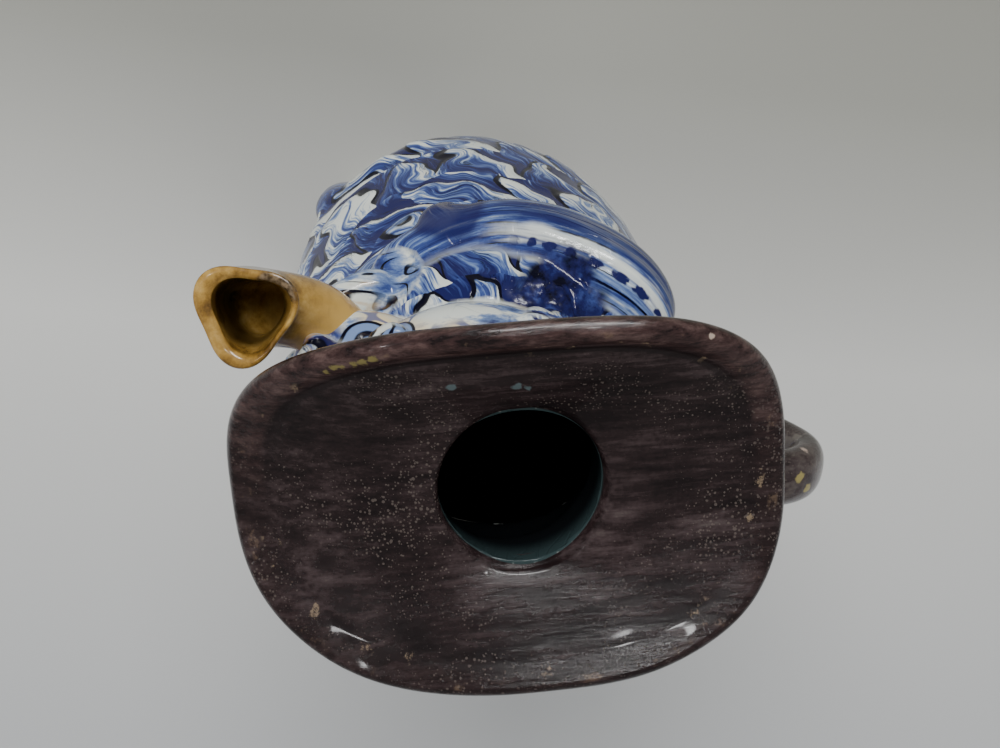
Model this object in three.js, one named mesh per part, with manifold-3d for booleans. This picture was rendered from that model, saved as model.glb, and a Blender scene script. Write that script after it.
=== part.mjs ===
// Monkey jug: a hollow tin-glazed jug in the form of a seated monkey with a turned head and a cocked
// hat. The filling hole is in the dished hat, a pinched horn spout leaves the monkey's mouth and a
// strap handle stands at its back. Millimetres, +Z up, origin at the centre of the foot's underside;
// the monkey's chest faces -Y and its right side -X.

import * as THREE from 'three';
import { mergeVertices } from 'three/addons/utils/BufferGeometryUtils.js';
import Module from 'manifold-3d';

const wasm = await Module();
wasm.setup();

// Driving dimensions
const figureHeight = 208;        // underside of the foot to the rim of the filling hole
const wall = 5;                  // thickness of the clay wall
const floorThickness = 6;
const footDiameter = 86;
const footHeight = 8;
const bellyDiameter = 122;
const shoulderDiameter = 98;
const mouthBore = 44;            // filling hole in the hat
const neckDepth = 11;            // straight wall below the rim of the filling hole
const headFullness = 11;         // how far the head stands out past the wall of the filling hole
const brimLength = 140;
const brimWidth = 95.5;
const brimThickness = 6.5;
const brimFrontShift = 3;        // how far the brim reaches further over the face than over the back
const sideCurl = 19;             // rise of the brim's sides
const frontDroop = 15;
const backRise = 1.5;
const spoutBore = 13;
const spoutWall = 3.6;
const spoutMouth = 25;           // across the pinched lip
const handleWidth = 17;
const handleThickness = 12;
const fingerGap = 15;            // clear space between handle and back
const handleShow = 26;           // how far the handle stands out past the back of the hat
const tuftRelief = 1.6;          // how far the tufts of the coat stand up
const tuftColumns = 16;
const tuftRows = 7;

// Fineness of the faceted surfaces
const facetsPerTuft = 4;
const bodySegments = tuftColumns * facetsPerTuft;
const hollowSegments = 24;
const hatSegments = 44;

const fullTurn = Math.PI * 2;
const headTurn = THREE.MathUtils.degToRad(-18);   // the face looks to the monkey's right
const hatTurn = THREE.MathUtils.degToRad(10.7);   // the hat sits askew

// Places and sizes on the free form, as shares of its height
const place = (x, y, z) => new THREE.Vector3(x, y, z).multiplyScalar(figureHeight);
const share = (part) => part * figureHeight;
const blend = THREE.MathUtils.lerp;
const hump = (distance, width) => Math.exp(-((distance / width) ** 2));

// A closed geometry as a solid
function solid(geometry) {
  geometry.deleteAttribute('normal');
  geometry.deleteAttribute('uv');
  const merged = mergeVertices(geometry, 1e-3);
  return new wasm.Manifold(new wasm.Mesh({
    numProp: 3,
    vertProperties: new Float32Array(merged.attributes.position.array),
    triVerts: new Uint32Array(merged.index.array),
  }));
}

// The round form that a profile of [half width, height] points sweeps about the upright axis
function turned(profile, segments) {
  const points = profile.map(([radius, height]) => new THREE.Vector2(radius, height));
  return new THREE.LatheGeometry(points, segments).rotateX(Math.PI / 2);
}

// Moves every point of a geometry to where the shaping function puts it
function shaped(geometry, shape) {
  const points = geometry.attributes.position;
  const point = new THREE.Vector3();
  for (let i = 0; i < points.count; i += 1) {
    point.fromBufferAttribute(points, i);
    shape(point);
    points.setXYZ(i, point.x, point.y, point.z);
  }
  return geometry;
}

// Two directions across a curve, the first as near as it can be to the given side
function acrossCurve(curve, t, side) {
  const along = curve.getTangent(t);
  const across = side.clone().addScaledVector(along, -side.dot(along)).normalize();
  return [across, new THREE.Vector3().crossVectors(along, across)];
}

// A limb: a round-ended form along a curve, its section half as wide as width(t) gives
function limb(points, width, side, flatness, around, rings) {
  const curve = new THREE.CatmullRomCurve3(points);
  const bluntness = 2.6;
  return solid(shaped(new THREE.SphereGeometry(1, around, rings), (point) => {
    const t = (1 - point.y) / 2;
    const angle = Math.atan2(point.z, point.x);
    const [across, over] = acrossCurve(curve, t, side);
    const onAxis = Math.hypot(point.x, point.z) < 1e-6;
    const round = onAxis ? 0 : (1 - Math.abs(2 * t - 1) ** bluntness) ** (1 / bluntness);
    const reach = width(t) * round;
    point.copy(curve.getPoint(t))
      .addScaledVector(across, Math.cos(angle) * reach * flatness)
      .addScaledVector(over, Math.sin(angle) * reach);
  }));
}

// An ellipsoid of three half sizes, turned about the upright axis
function lump(centre, halfX, halfY, halfZ, turn, around, rings) {
  const geometry = new THREE.SphereGeometry(1, around, rings);
  geometry.rotateX(Math.PI / 2);
  geometry.scale(halfX, halfY, halfZ);
  geometry.rotateZ(turn);
  geometry.translate(centre.x, centre.y, centre.z);
  return solid(geometry);
}

// The body's outline: half width by height, from the foot to the neck
const neckHeight = share(0.83);
const shoulderRadius = shoulderDiameter / 2;
const bodyLine = new THREE.SplineCurve([
  [footDiameter / 2, footHeight],
  [blend(footDiameter, bellyDiameter, 0.42) / 2, share(0.11)],
  [blend(footDiameter, bellyDiameter, 0.86) / 2, share(0.2)],
  [bellyDiameter / 2, share(0.31)],
  [blend(shoulderDiameter, bellyDiameter, 0.74) / 2, share(0.43)],
  [blend(shoulderDiameter, bellyDiameter, 0.26) / 2, share(0.56)],
  [shoulderRadius, share(0.67)],
  [shoulderRadius * 0.86, share(0.75)],
  [shoulderRadius * 0.62, share(0.805)],
  [shoulderRadius * 0.5, neckHeight],
].map(([radius, height]) => new THREE.Vector2(radius, height)));

// Half width of the body at a height
function bodyRadius(height) {
  let low = 0;
  let high = 1;
  for (let step = 0; step < 24; step += 1) {
    const middle = (low + high) / 2;
    if (bodyLine.getPoint(middle).y < height) low = middle;
    else high = middle;
  }
  return bodyLine.getPoint((low + high) / 2).x;
}

// The rounded upper back
const backHump = (angle, height) => share(0.048) * hump(height - share(0.62), share(0.22))
  * Math.max(0, Math.sin(angle));

// The coat: rows of overlapping tufts that hang down, each row shifted by half a tuft
const coatFoot = share(0.085);
const coatTop = share(0.67);
const tuftHeight = (coatTop - coatFoot) / tuftRows;
const tuftLedge = tuftHeight * 0.12;
function coatRelief(angle, height) {
  const row = Math.floor((height - coatFoot) / tuftHeight + 1e-4);
  const above = height - coatFoot - row * tuftHeight - tuftLedge;
  if (row < 0 || row >= tuftRows || above < -1e-3) return 0;
  const column = (angle / fullTurn) * tuftColumns + (row % 2) / 2;
  const across = 2 * (column - Math.floor(column)) - 1;
  return tuftRelief * (1 - above / (tuftHeight - tuftLedge)) * (1 - across * across);
}

function bodySolid() {
  const footGroove = 1.5;
  const profile = [[0, 0], [footDiameter / 2 - footGroove, 0], [footDiameter / 2, footHeight / 2],
    [footDiameter / 2 - footGroove, footHeight]];
  for (let row = 0; row < tuftRows; row += 1) {
    const height = coatFoot + row * tuftHeight;
    profile.push([bodyRadius(height), height]);
    profile.push([bodyRadius(height + tuftLedge), height + tuftLedge]);
  }
  const shoulderRings = 5;
  for (let ring = 0; ring <= shoulderRings; ring += 1) {
    const height = blend(coatTop, neckHeight, ring / shoulderRings);
    profile.push([bodyRadius(height), height]);
  }
  profile.push([0, neckHeight]);
  return solid(shaped(turned(profile, bodySegments), (point) => {
    const radius = Math.hypot(point.x, point.y);
    if (radius < 1e-6 || point.z <= footHeight) return;
    const angle = Math.atan2(point.y, point.x);
    const grown = radius + coatRelief(angle, point.z) + backHump(angle, point.z);
    point.x *= grown / radius;
    point.y *= grown / radius;
  }));
}

// The hollow in the body, a wall's thickness inside its outline
function bodyHollow() {
  const top = neckHeight + wall;
  const rings = 10;
  const profile = [[0, floorThickness], [footDiameter / 2 - wall * 2, floorThickness]];
  for (let ring = 1; ring <= rings; ring += 1) {
    const height = blend(floorThickness, top, ring / rings);
    const radius = bodyRadius(Math.min(height, neckHeight)) - wall;
    profile.push([Math.max(radius, mouthBore / 2), height]);
  }
  profile.push([0, top]);
  return solid(shaped(turned(profile, hollowSegments), (point) => {
    const radius = Math.hypot(point.x, point.y);
    if (radius < 1e-6) return;
    const grown = radius + backHump(Math.atan2(point.y, point.x), point.z);
    point.x *= grown / radius;
    point.y *= grown / radius;
  }));
}

// The head, from the shoulders to the hat; its hollow ends below the neck of the filling hole
const headHalf = mouthBore / 2 + wall + headFullness;
const headCentre = new THREE.Vector3(0, -share(0.038), share(0.83));
const headTop = figureHeight - brimThickness;
const headHalfHeight = headTop - headCentre.z;
const facing = new THREE.Vector3(Math.sin(headTurn), -Math.cos(headTurn), 0);
const headRight = new THREE.Vector3(-Math.cos(headTurn), -Math.sin(headTurn), 0);
const upright = new THREE.Vector3(0, 0, 1);

// A point by its distances ahead of, to the right of and above the middle of the head
const onHead = (ahead, right, up) => headCentre.clone()
  .addScaledVector(facing, ahead)
  .addScaledVector(headRight, right)
  .addScaledVector(upright, up);

function headSolid() {
  const skull = lump(headCentre, headHalf, headHalf * 1.06, headHalfHeight, headTurn, 20, 10);
  const muzzle = lump(onHead(headHalf * 0.86, 0, -share(0.05)), headHalf * 0.52, headHalf * 0.6,
    share(0.068), headTurn, 16, 8);
  const nose = lump(onHead(headHalf * 1.2, 0, 0), headHalf * 0.26, headHalf * 0.28,
    share(0.035), headTurn, 10, 6);
  let head = skull.add(muzzle).add(nose);
  for (const side of [-1, 1]) {
    const eye = onHead(headHalf * 0.9, side * headHalf * 0.4, share(0.03));
    head = head.add(lump(eye, share(0.036), share(0.036), share(0.032), headTurn, 10, 6));
    const ear = onHead(-headHalf * 0.15, side * headHalf * 0.97, share(0.01));
    head = head.add(lump(ear, share(0.022), share(0.05), share(0.055), headTurn, 10, 6));
  }
  return head;
}

function headHollow() {
  const top = figureHeight - neckDepth;
  const foot = headCentre.z - headHalfHeight + wall;
  const centre = headCentre.clone().setZ((top + foot) / 2);
  return lump(centre, headHalf - wall, headHalf * 1.06 - wall, (top - foot) / 2, headTurn, 22, 10);
}

// The hat's brim: a rounded oblong, cocked up at the sides and drooping to the front and back
const brimReach = (y) => brimLength / 2 + (y < 0 ? brimFrontShift : -brimFrontShift);
function brimHeight(x, y) {
  const endRise = y < 0 ? -frontDroop : backRise;
  return figureHeight + sideCurl * (Math.abs(x) / (brimWidth / 2)) ** 2.2
    + endRise * (Math.abs(y) / brimReach(y)) ** 2;
}

// The crown of the hat, from around the head up into the brim
function crownSolid() {
  const foot = headCentre.z + share(0.02);
  const rings = [[0, foot], [headHalf * 0.94, foot], [headHalf * 0.86, headTop], [headHalf * 0.5, headTop],
    [0, headTop]];
  return solid(shaped(turned(rings, 28), (point) => {
    if (point.z > foot + 1e-3) point.z = brimHeight(point.x, point.y) - brimThickness * 0.6;
  }).rotateZ(hatTurn));
}

function hatSolid() {
  const squareness = 2.9;
  const rimSteps = 4;
  const stations = [];
  for (const ring of [0, 0.6, 0.82, 1]) stations.push({ ring, out: 0, up: -1 });
  for (let step = 1; step < rimSteps; step += 1) {
    const angle = (step / rimSteps - 0.5) * Math.PI;
    stations.push({ ring: 1, out: Math.cos(angle) / 2, up: (Math.sin(angle) - 1) / 2 });
  }
  for (const ring of [1, 0.86, 0.7, 0.52, 0.34, 0]) stations.push({ ring, out: 0, up: 0 });
  const unit = turned(stations.map(({ ring }, i) => [ring, i]), hatSegments);
  const curve = (value) => Math.sign(value) * Math.abs(value) ** (2 / squareness);
  return solid(shaped(unit, (point) => {
    const { ring, out, up } = stations[Math.round(point.z)];
    const angle = Math.atan2(point.y, point.x);
    const y = ring * brimReach(point.y) * curve(Math.sin(angle));
    const x = ring * (brimWidth / 2) * curve(Math.cos(angle));
    point.x = x + out * brimThickness * Math.cos(angle);
    point.y = y + out * brimThickness * Math.sin(angle);
    point.z = brimHeight(x, y) + up * brimThickness;
  }).rotateZ(hatTurn));
}

// The filling hole, from above the brim down into the hollow of the head, its edge softened
function fillingHole() {
  const softening = 1.5;
  const bore = mouthBore / 2;
  return solid(turned([
    [0, headCentre.z],
    [bore, headCentre.z],
    [bore, figureHeight - softening],
    [bore + softening, figureHeight + softening],
    [bore + softening, figureHeight + sideCurl],
    [0, figureHeight + sideCurl],
  ], 32));
}

// The horn spout: round at the monkey's lips, then it turns up, flares and is pinched at its mouth
const spoutLine = new THREE.CatmullRomCurve3([
  onHead(headHalf * 0.3, 0, -share(0.06)),
  onHead(headHalf * 0.95, headHalf * 0.08, -share(0.07)),
  onHead(headHalf * 1.4, headHalf * 0.26, -share(0.065)),
  place(-0.15, -0.345, 0.815),
  place(-0.168, -0.36, 0.9),
]);
const flare = (t) => Math.max(0, (t - 0.5) / 0.5) ** 1.6;
const hornOuter = (t) => blend(spoutBore / 2 + spoutWall, spoutMouth / 2, flare(t));
const hornInner = (t) => blend(spoutBore, spoutMouth - 2 * spoutWall, flare(t)) / 2;
function horn(halfWidth, around, rings, past) {
  const side = new THREE.Vector3(1, 0, 0);
  return solid(shaped(new THREE.CylinderGeometry(1, 1, 1, around, rings), (point) => {
    const t = 0.5 + point.y;
    const radius = Math.hypot(point.x, point.z);
    const angle = Math.atan2(point.z, point.x);
    const [across, over] = acrossCurve(spoutLine, t, side);
    const width = radius * halfWidth(t) * (1 + 0.2 * flare(t) * Math.cos(3 * angle));
    point.copy(spoutLine.getPoint(t))
      .addScaledVector(spoutLine.getTangent(t), t > 0.999 ? past : 0)
      .addScaledVector(across, Math.cos(angle) * width)
      .addScaledVector(over, -Math.sin(angle) * width);
  }));
}

// The strap handle: from under the back of the hat, out past the brim and down into the back
const handleFoot = share(0.44);
const backAt = (height) => bodyRadius(height) + backHump(Math.PI / 2, height);
const handleOut = brimLength / 2 - brimFrontShift + handleShow - handleThickness / 2;
const handleClear = fingerGap + handleThickness / 2;
function handleSolid() {
  const line = new THREE.CatmullRomCurve3([
    new THREE.Vector3(0, headHalf * 0.72, share(0.885)),
    new THREE.Vector3(0, handleOut - handleThickness, share(0.905)),
    new THREE.Vector3(0, handleOut, share(0.85)),
    new THREE.Vector3(0, backAt(share(0.72)) + handleClear, share(0.72)),
    new THREE.Vector3(0, backAt(share(0.58)) + handleClear * 0.72, share(0.58)),
    new THREE.Vector3(0, backAt(handleFoot) - wall / 2, handleFoot),
  ]);
  const section = new THREE.Shape();
  section.absellipse(0, 0, handleWidth / 2, handleThickness / 2, 0, fullTurn, false, 0);
  return solid(new THREE.ExtrudeGeometry(section, {
    extrudePath: line, steps: 18, curveSegments: 6, bevelEnabled: false,
  }));
}

// Thighs, shins, feet, sleeves and paws; alike on both sides but for the paws, which hold the horn
function limbsSolid() {
  const ahead = new THREE.Vector3(0, -1, 0);
  const limbs = [];
  for (const side of [-1, 1]) {
    limbs.push(limb([place(side * 0.16, 0.08, 0.16), place(side * 0.205, -0.06, 0.26),
      place(side * 0.18, -0.2, 0.32)], (t) => share(0.1 - 0.034 * t), upright, 1, 12, 8));
    limbs.push(limb([place(side * 0.15, -0.185, 0.325), place(side * 0.13, -0.215, 0.2),
      place(side * 0.1, -0.16, 0.03)], (t) => share(0.06 - 0.018 * t), ahead, 1, 10, 8));
    limbs.push(limb([place(side * 0.1, -0.06, 0.032), place(side * 0.11, -0.145, 0.036),
      place(side * 0.115, -0.216, 0.026)], (t) => share(0.052 - 0.01 * t), upright, 0.6, 10, 6));
    const wrist = onHead(headHalf * 0.9, -side * headHalf * 0.62, -share(0.15));
    limbs.push(limb([place(side * 0.12, 0.225, 0.7), place(side * 0.185, 0.145, 0.69),
      place(side * 0.215, 0.04, 0.65), place(side * 0.208, -0.04, 0.63),
      place(side * 0.16, -0.145, 0.65), wrist],
    (t) => share(0.082 - 0.03 * t), upright, 1, 12, 13));
    limbs.push(limb([wrist, onHead(headHalf * 1.2, -side * headHalf * 0.34, -share(0.125)),
      onHead(headHalf * 1.42, -side * headHalf * 0.12, -share(0.1))],
    (t) => share(0.042 - 0.014 * t), upright, 0.8, 10, 8));
  }
  return limbs.reduce((joined, form) => joined.add(form));
}

const outside = [bodySolid(), headSolid(), limbsSolid(), handleSolid(), crownSolid(), hatSolid(),
  horn(hornOuter, 18, 9, 0)].reduce((joined, form) => joined.add(form));
const inside = [bodyHollow(), headHollow(), fillingHole(), horn(hornInner, 12, 9, 2)]
  .reduce((joined, form) => joined.add(form));
const below = solid(new THREE.BoxGeometry(share(2), share(2), share(0.2))
  .translate(0, 0, -share(0.1)));

// The clay, without the pockets that the limbs close off from one another
const pieces = outside.subtract(inside).subtract(below).decompose();
const clay = pieces.reduce((largest, piece) => (piece.volume() > largest.volume() ? piece : largest));

// The surface of a solid, with the corners that a cut leaves closer than a hair joined
function surfaceOf(form) {
  const mesh = form.getMesh();
  const cut = new THREE.BufferGeometry();
  cut.setAttribute('position', new THREE.BufferAttribute(new Float32Array(mesh.vertProperties), 3));
  cut.setIndex(new THREE.BufferAttribute(new Uint32Array(mesh.triVerts), 1));
  const surface = mergeVertices(cut, 0.01);
  const corners = surface.index.array;
  const kept = [];
  for (let i = 0; i < corners.length; i += 3) {
    const [a, b, c] = corners.slice(i, i + 3);
    if (a !== b && b !== c && c !== a) kept.push(a, b, c);
  }
  surface.setIndex(kept);
  return surface;
}

const jug = new THREE.Mesh(surfaceOf(clay), new THREE.MeshStandardMaterial({
  color: 0xdfe6ea, roughness: 0.18, metalness: 0,
}));
jug.name = 'jug';

const group = new THREE.Group();
group.add(jug);

export default group;
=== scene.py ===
import math

import bmesh
import bpy
import numpy as np
from mathutils import Matrix, Vector


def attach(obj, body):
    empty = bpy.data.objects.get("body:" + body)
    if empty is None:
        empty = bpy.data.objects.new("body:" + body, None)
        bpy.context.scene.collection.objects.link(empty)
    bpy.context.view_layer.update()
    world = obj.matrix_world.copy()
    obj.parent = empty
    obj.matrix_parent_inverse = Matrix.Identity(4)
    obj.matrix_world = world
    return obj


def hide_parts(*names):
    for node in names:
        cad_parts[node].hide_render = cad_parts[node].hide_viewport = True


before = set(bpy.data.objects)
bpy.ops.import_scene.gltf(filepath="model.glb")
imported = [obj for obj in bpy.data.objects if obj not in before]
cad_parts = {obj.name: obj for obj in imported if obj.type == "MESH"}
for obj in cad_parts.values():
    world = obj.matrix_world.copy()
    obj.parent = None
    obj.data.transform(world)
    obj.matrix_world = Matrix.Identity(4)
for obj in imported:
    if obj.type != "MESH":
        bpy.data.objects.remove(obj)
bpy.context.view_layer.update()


# The pot
# The belly is thrown in pale clay on a plain turned foot, and thick-walled. Its upper back is pushed
# out by hand so that the seated monkey leans into its handle.
FIGURE_HEIGHT = 0.208
WALL = 0.005
FLOOR_THICKNESS = 0.006
FOOT_DIAMETER = 0.086
FOOT_HEIGHT = 0.008
BELLY_DIAMETER = 0.122
SHOULDER_DIAMETER = 0.098
MOUTH_BORE = 0.044


def share(part):
    return part * FIGURE_HEIGHT


def blend(start, end, part):
    return start + (end - start) * part


def through(stations, count=400):
    """Points at even steps of an evenly timed curve through the stations."""
    stations = np.asarray(stations, float)
    last = len(stations) - 1
    steps = np.linspace(0, last, count)
    first = np.minimum(steps.astype(int), last - 1)
    part = (steps - first)[:, None]
    before, here, there, after = (stations[np.clip(first + k, 0, last)] for k in (-1, 0, 1, 2))
    return here + 0.5 * part * (there - before + part * (
        2 * before - 5 * here + 4 * there - after + part * (3 * (here - there) + after - before)))


NECK_HEIGHT = share(0.83)
BODY_LINE = through([
    (FOOT_DIAMETER / 2, FOOT_HEIGHT),
    (blend(FOOT_DIAMETER, BELLY_DIAMETER, 0.42) / 2, share(0.11)),
    (blend(FOOT_DIAMETER, BELLY_DIAMETER, 0.86) / 2, share(0.2)),
    (BELLY_DIAMETER / 2, share(0.31)),
    (blend(SHOULDER_DIAMETER, BELLY_DIAMETER, 0.74) / 2, share(0.43)),
    (blend(SHOULDER_DIAMETER, BELLY_DIAMETER, 0.26) / 2, share(0.56)),
    (SHOULDER_DIAMETER / 2, share(0.67)),
    (SHOULDER_DIAMETER * 0.43, share(0.75)),
    (SHOULDER_DIAMETER * 0.31, share(0.805)),
    (SHOULDER_DIAMETER * 0.25, NECK_HEIGHT),
])


def body_radius(height):
    return np.interp(height, BODY_LINE[:, 1], BODY_LINE[:, 0])


def hump(distance, width):
    return np.exp(-((distance / width) ** 2))


def back_hump(angle, height):
    return share(0.048) * hump(height - share(0.62), share(0.22)) * np.maximum(0, np.sin(angle))


def skin(name, rings, closed_loop=False):
    """A closed skin over rings of points: its ends joined, or each closed by a fan."""
    rings = np.asarray(rings, float)
    count, around = rings.shape[:2]
    points = rings.reshape(-1, 3).tolist()
    steps = count if closed_loop else count - 1
    faces = []
    for ring in range(steps):
        below = ring * around
        above = ((ring + 1) % count) * around
        for side in range(around):
            beside = (side + 1) % around
            faces.append((below + side, below + beside, above + beside, above + side))
    if not closed_loop:
        for end in (0, count - 1):
            points.append(rings[end].mean(axis=0).tolist())
            faces += [(end * around + side, end * around + (side + 1) % around, len(points) - 1)
                      for side in range(around)]
    mesh = bpy.data.meshes.new(name)
    mesh.from_pydata(points, [], faces)
    shape = bmesh.new()
    shape.from_mesh(mesh)
    bmesh.ops.remove_doubles(shape, verts=shape.verts, dist=1e-6)
    bmesh.ops.recalc_face_normals(shape, faces=shape.faces)
    if shape.calc_volume(signed=True) < 0:
        bmesh.ops.reverse_faces(shape, faces=shape.faces)
    shape.to_mesh(mesh)
    shape.free()
    return mesh


def full_turn(count):
    return np.linspace(0, math.tau, count, endpoint=False)


def thrown(name, profile, around):
    """A form thrown on the wheel from half widths and heights, its back pushed out as the body's is."""
    angles = full_turn(around)
    rings = []
    for radius, height in profile:
        reach = radius + (back_hump(angles, height) if height > FOOT_HEIGHT else 0 * angles)
        rings.append(np.stack([reach * np.cos(angles), reach * np.sin(angles), 0 * angles + height], -1))
    return skin(name, rings)


foot_edge = 0.0015
heights = np.linspace(FOOT_HEIGHT, NECK_HEIGHT, 70)
pot = thrown("pot", [(FOOT_DIAMETER / 2 - foot_edge, 0), (FOOT_DIAMETER / 2, FOOT_HEIGHT / 2),
                     (FOOT_DIAMETER / 2 - foot_edge, FOOT_HEIGHT * 0.96)]
             + [(body_radius(height), height) for height in heights], 128)


# The head
# The skull, muzzle, nose, brows, eyes and ears are pressed and modelled on the shoulders of the pot.
# The face looks to the monkey's right, and the crown of the hat is drawn up around the skull.
HEAD_FULLNESS = 0.011
HEAD_TURN = math.radians(-18)
BRIM_THICKNESS = 0.0065
HEAD_HALF = MOUTH_BORE / 2 + WALL + HEAD_FULLNESS
HEAD_CENTRE = np.array([0, -share(0.038), share(0.83)])
HEAD_TOP = FIGURE_HEIGHT - BRIM_THICKNESS
HEAD_HALF_HEIGHT = HEAD_TOP - HEAD_CENTRE[2]
FACING = np.array([math.sin(HEAD_TURN), -math.cos(HEAD_TURN), 0])
HEAD_RIGHT = np.array([-math.cos(HEAD_TURN), -math.sin(HEAD_TURN), 0])
UPRIGHT = np.array([0.0, 0.0, 1.0])


def on_head(ahead, right, up):
    """A point by its distances ahead of, to the right of and above the middle of the head."""
    return HEAD_CENTRE + ahead * FACING + right * HEAD_RIGHT + up * UPRIGHT


def lump(name, centre, half_x, half_y, half_z, turn=HEAD_TURN, around=40, count=24):
    """A rounded lump of clay of three half sizes, turned about the upright axis."""
    angles = full_turn(around)
    rings = []
    for slope in np.linspace(-math.pi / 2, math.pi / 2, count + 1):
        x = half_x * np.cos(angles) * math.cos(slope)
        y = half_y * np.sin(angles) * math.cos(slope)
        rings.append(np.stack([
            centre[0] + x * math.cos(turn) - y * math.sin(turn),
            centre[1] + x * math.sin(turn) + y * math.cos(turn),
            0 * x + centre[2] + half_z * math.sin(slope)], -1))
    return skin(name, rings)


SKULL = (HEAD_CENTRE, HEAD_HALF, HEAD_HALF * 1.06, HEAD_HALF_HEIGHT)
MUZZLE = (on_head(HEAD_HALF * 0.86, 0, -share(0.05)), HEAD_HALF * 0.52, HEAD_HALF * 0.6, share(0.068))
head_lumps = [
    lump("skull", *SKULL, around=72, count=40),
    lump("muzzle", *MUZZLE),
    lump("nose", on_head(HEAD_HALF * 1.2, 0, 0), HEAD_HALF * 0.26, HEAD_HALF * 0.28, share(0.035)),
]
EYES = {}
for side in (-1, 1):
    EYES[side] = on_head(HEAD_HALF * 0.9, side * HEAD_HALF * 0.4, share(0.03))
    head_lumps += [
        lump("eye", EYES[side], share(0.036), share(0.036), share(0.032)),
        lump("brow", on_head(HEAD_HALF * 0.92, side * HEAD_HALF * 0.4, share(0.058)), share(0.045),
             share(0.028), share(0.014)),
        lump("nostril_wing", on_head(HEAD_HALF * 1.36, side * HEAD_HALF * 0.16, -share(0.006)),
             share(0.02), share(0.02), share(0.018)),
        lump("ear", on_head(-HEAD_HALF * 0.15, side * HEAD_HALF * 0.97, share(0.01)), share(0.022),
             share(0.05), share(0.055)),
    ]


# The limbs
# Thighs, shins, feet, sleeves and paws are rolled from clay and luted on with slip. The long sleeves
# lie round the shoulders like a cape, each ends in a turned cuff, and the paws reach for the horn.
def bending(stations, count):
    """Points and directions along a curve that slows down where its stations lie close."""
    stations = np.asarray(stations, float)
    ends = [2 * stations[0] - stations[1], *stations, 2 * stations[-1] - stations[-2]]
    points = []
    steps = np.linspace(0, len(stations) - 1, count)
    for step in steps:
        first = min(int(step), len(stations) - 2)
        p0, p1, p2, p3 = ends[first:first + 4]
        d0, d1, d2 = (np.linalg.norm(b - a) ** 0.5 for a, b in ((p0, p1), (p1, p2), (p2, p3)))
        m1 = ((p1 - p0) / d0 - (p2 - p0) / (d0 + d1) + (p2 - p1) / d1) * d1
        m2 = ((p2 - p1) / d1 - (p3 - p1) / (d1 + d2) + (p3 - p2) / d2) * d1
        w = step - first
        points.append(p1 + m1 * w + (3 * (p2 - p1) - 2 * m1 - m2) * w * w
                      + (2 * (p1 - p2) + m1 + m2) * w ** 3)
    points = np.array(points)
    along = np.gradient(points, axis=0)
    return points, along / np.linalg.norm(along, axis=1)[:, None]


def blunt(part, power=2.6):
    """How full a roll of clay is along its length: 1 at the middle, 0 at both ends."""
    return (1 - abs(2 * part - 1) ** power) ** (1 / power)


def limb(name, stations, width, side=UPRIGHT, flatness=1.0, around=28, count=44):
    """A round-ended roll of clay along a curve, half as wide as width(t) says."""
    t = (1 - np.cos(np.linspace(0, math.pi, count))) / 2
    fine, fine_along = bending(stations, 400)
    at = np.linspace(0, 1, 400)
    angles = full_turn(around)
    rings = []
    for part in t[1:-1]:
        middle = np.array([np.interp(part, at, fine[:, k]) for k in range(3)])
        along = np.array([np.interp(part, at, fine_along[:, k]) for k in range(3)])
        across = side - along * (side @ along)
        across /= np.linalg.norm(across)
        over = np.cross(along, across)
        reach = width(part) * blunt(part)
        rings.append(middle + np.cos(angles)[:, None] * across * reach * flatness
                     + np.sin(angles)[:, None] * over * reach)
    return skin(name, rings)


def place(x, y, z):
    return np.array([x, y, z]) * FIGURE_HEIGHT


def sleeve_width(t):
    return share(0.082 - 0.03 * t)


limbs = []
SLEEVES = {}
PAWS = {}
AHEAD = np.array([0.0, -1.0, 0.0])
for side in (-1, 1):
    limbs.append(limb("thigh", [place(side * 0.16, 0.08, 0.16), place(side * 0.205, -0.06, 0.26),
                                place(side * 0.18, -0.2, 0.32)], lambda t: share(0.1 - 0.034 * t)))
    limbs.append(limb("shin", [place(side * 0.15, -0.185, 0.325), place(side * 0.13, -0.215, 0.2),
                               place(side * 0.1, -0.16, 0.03)], lambda t: share(0.06 - 0.018 * t),
                      side=AHEAD))
    limbs.append(limb("foot", [place(side * 0.1, -0.06, 0.032), place(side * 0.11, -0.145, 0.036),
                               place(side * 0.115, -0.216, 0.026)], lambda t: share(0.052 - 0.01 * t),
                      flatness=0.6))
    for toe in range(4):
        spread = (toe - 1.5) * 0.021
        limbs.append(limb("toe", [place(side * 0.108 + spread * 0.8, -0.16, 0.026),
                                  place(side * 0.11 + spread, -0.206, 0.018)],
                          lambda t: share(0.0115), count=16, around=14))
    wrist = on_head(HEAD_HALF * 0.9, -side * HEAD_HALF * 0.62, -share(0.15))
    SLEEVES[side] = [place(side * 0.12, 0.225, 0.7), place(side * 0.185, 0.145, 0.69),
                     place(side * 0.215, 0.04, 0.65), place(side * 0.208, -0.04, 0.63),
                     place(side * 0.16, -0.145, 0.65), wrist]
    limbs.append(limb("sleeve", SLEEVES[side], sleeve_width, around=40, count=80))
    cuff = place(side * 0.214, -0.075, 0.62)
    limbs.append(lump("cuff", cuff, share(0.05), share(0.06), share(0.058), turn=side * 0.4))
    knuckle = on_head(HEAD_HALF * 1.2, -side * HEAD_HALF * 0.34, -share(0.125))
    fingertip = on_head(HEAD_HALF * 1.42, -side * HEAD_HALF * 0.12, -share(0.1))
    PAWS[side] = [wrist, knuckle, fingertip]
    limbs.append(limb("paw", PAWS[side], lambda t: share(0.042 - 0.014 * t), flatness=0.8))
    for finger in range(4):
        rise = UPRIGHT * share((finger - 1.5) * 0.017)
        limbs.append(limb("finger", [knuckle + rise, (knuckle + fingertip) / 2 + rise * 1.15,
                                     fingertip + rise * 0.8], lambda t: share(0.013 - 0.004 * t),
                          count=20, around=14))


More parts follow.
